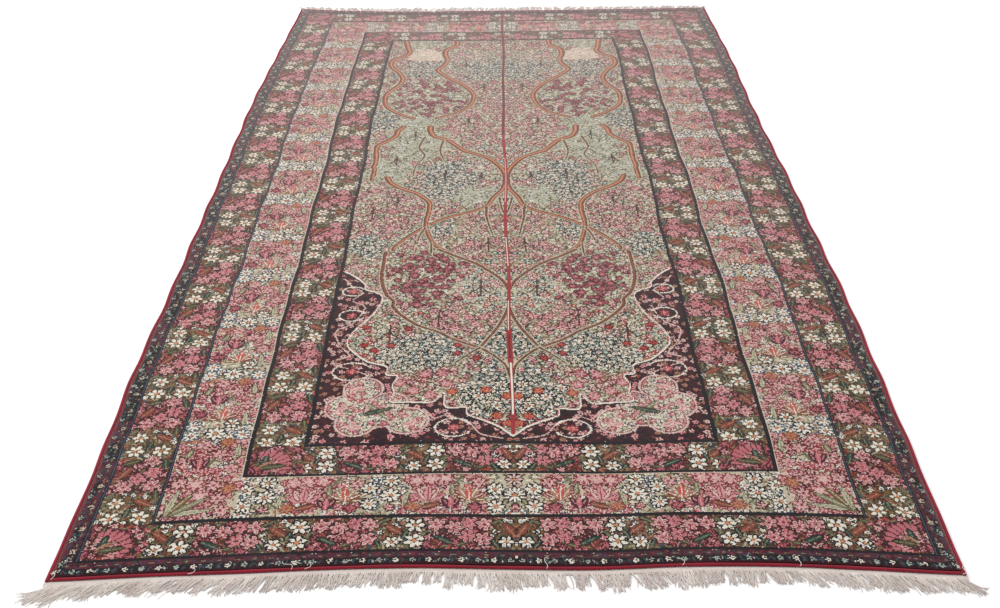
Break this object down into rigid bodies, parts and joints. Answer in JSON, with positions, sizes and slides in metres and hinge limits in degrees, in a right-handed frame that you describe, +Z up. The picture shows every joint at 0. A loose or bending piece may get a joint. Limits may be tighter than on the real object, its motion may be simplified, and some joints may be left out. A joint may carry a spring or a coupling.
{
  "type": "persian rug",
  "caption": "Flat hand-knotted wool rug with a flowering-tree field, floral borders, red overcast edges and a cotton warp fringe at each end.",
  "frame": {"origin": "on the floor under the middle of the rug with its fringes", "axes": "+Z up out of the pile, +Y along the rug towards the end that the trees grow from, +X across it to the right"},
  "size_m": [1.582, 2.9585, 0.007],
  "materials": {
    "wool_pile": "short knotted wool pile with a soft sheen",
    "red_overcast": "twisted wool overcasting, matt",
    "cotton_warp": "loose unbleached cotton yarn, matt"
  },
  "bodies": {
    "root": {"rug": "wool_pile", "selvedge_left": "red_overcast", "selvedge_right": "red_overcast", "end_binding_near": "red_overcast", "end_binding_far": "red_overcast", "fringe_near": "cotton_warp", "fringe_far": "cotton_warp"}
  },
  "joints": []
}
